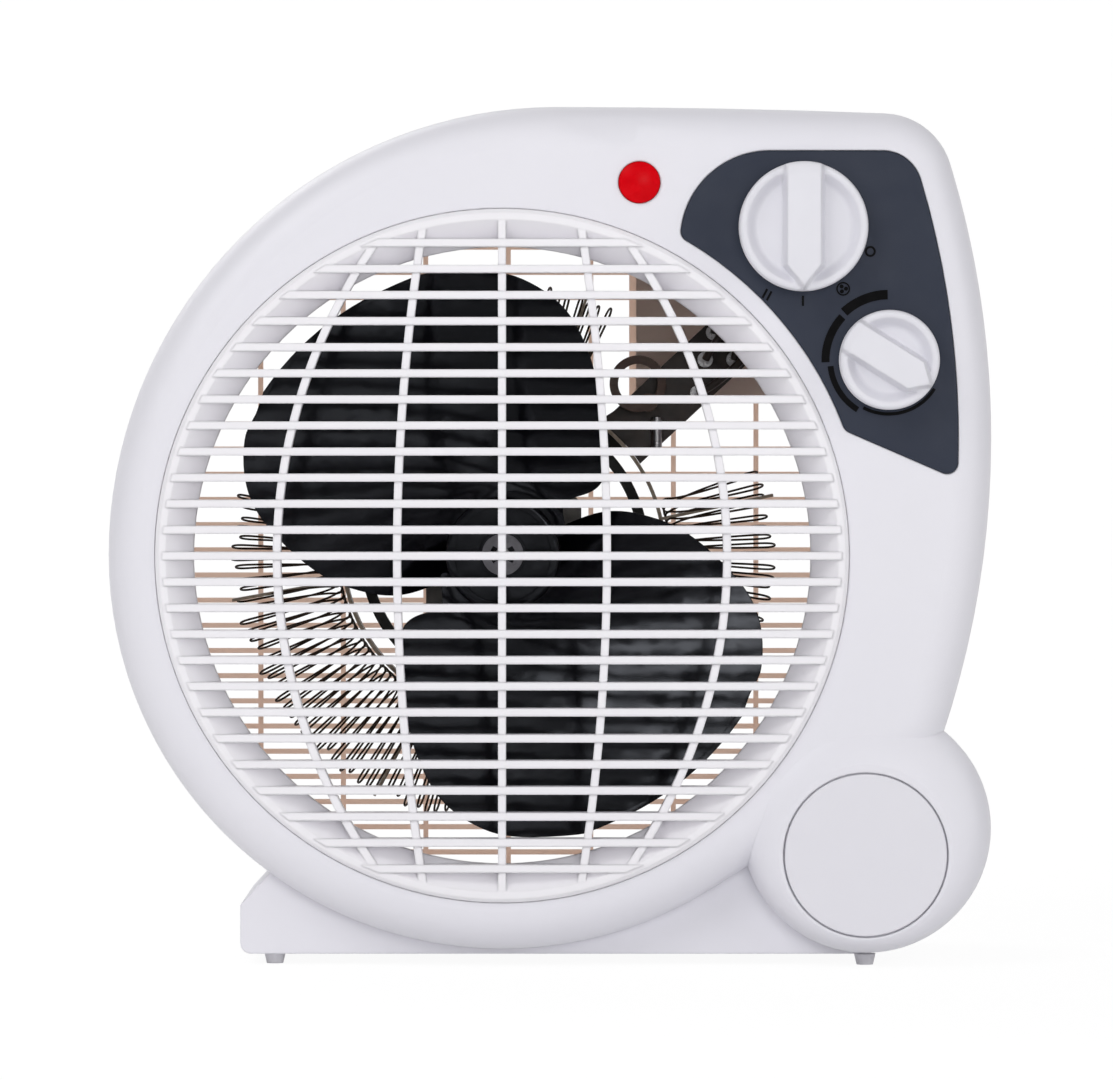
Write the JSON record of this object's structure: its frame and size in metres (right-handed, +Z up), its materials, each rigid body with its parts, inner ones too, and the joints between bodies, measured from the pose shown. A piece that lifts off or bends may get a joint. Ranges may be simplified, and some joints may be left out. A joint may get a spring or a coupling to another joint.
{
  "type": "fan convector heater",
  "caption": "Upright fan heater: slatted round outlet, broad-bladed fan in front of an open wire element, rotary mode and thermostat knobs, red lamp.",
  "frame": {"origin": "centre of the bounding box at floor level", "axes": "+X right seen from the front, front faces -Y, +Z up"},
  "size_m": [0.2443, 0.1212, 0.2377],
  "materials": {
    "housing": "semi-gloss moulded",
    "housing_matte": "fine matt moulded",
    "grille": "semi-gloss moulded",
    "rear_plastic": "semi-gloss moulded",
    "panel": "matt moulded",
    "print": "pad print",
    "knob": "satin moulded",
    "nylon": "natural nylon",
    "steel": "drawn",
    "bakelite": "moulded",
    "brass": "stamped",
    "ceramic": "unglazed",
    "lens": "clear red moulded",
    "lamp_glass": "clear",
    "screw": "zinc plated",
    "foot": "moulded",
    "bush": "moulded",
    "fan": "glossy moulded",
    "laminations": "stacked",
    "winding": "enamelled wire",
    "bracket": "die cast",
    "bronze": "sintered",
    "mount": "moulded",
    "mica": "pressed mica sheet",
    "shield": "heat resistant paint",
    "element": "oxidised resistance wire",
    "cutout": "phenolic",
    "lead": "sleeved"
  },
  "bodies": {
    "housing": {"boss_disc": "housing_matte", "case_screws": "screw", "coil_bobbin": "nylon", "coil_winding": "winding", "cord_bush": "bush", "dial_marks": "print", "dial_panel": "panel", "feet": "foot", "front_bearing": "bronze", "front_bracket": "bracket", "front_grille": "grille", "front_shell": "housing", "heat_shield": "shield", "heater_band": "mica", "heater_posts": "steel", "heater_vanes": "mica", "heating_wire_front": "element", "heating_wire_rear": "element", "internal_leads": "lead", "lamp_holder": "nylon", "lamp_lens": "lens", "motor_mount": "mount", "motor_screws": "screw", "neon_lamp": "lamp_glass", "rear_bearing": "bronze", "rear_bracket": "bracket", "rear_grille": "rear_plastic", "rear_shell": "housing", "stator_stack": "laminations", "switch_body": "bakelite", "switch_tabs": "brass", "terminal_plate": "mica", "terminal_tabs": "brass", "thermal_cutout": "cutout", "thermal_fuse": "brass", "thermostat_bimetal": "brass", "thermostat_frame": "steel", "thermostat_insulator": "ceramic"},
    "fan_rotor": {"fan": "fan", "push_nut": "steel", "motor_shaft": "steel", "rotor": "steel"},
    "mode_dial": {"mode_knob": "knob", "mode_spindle": "nylon"},
    "thermostat_dial": {"thermostat_knob": "knob", "thermostat_spindle": "steel"}
  },
  "joints": [
    {"name": "fan_spin", "type": "hinge", "parent": "housing", "child": "fan_rotor", "pos_m": [-0.0131, 0, 0.1137], "axis": [0, -1, 0], "continuous": true},
    {"name": "mode_turn", "type": "hinge", "parent": "housing", "child": "mode_dial", "pos_m": [0.0697, -0.04995, 0.2042], "axis": [0, 1, 0], "range_deg": [-70, 28]},
    {"name": "thermostat_turn", "type": "hinge", "parent": "housing", "child": "thermostat_dial", "pos_m": [0.0933, -0.04995, 0.1676], "axis": [0, 1, 0], "range_deg": [0, 240]}
  ]
}
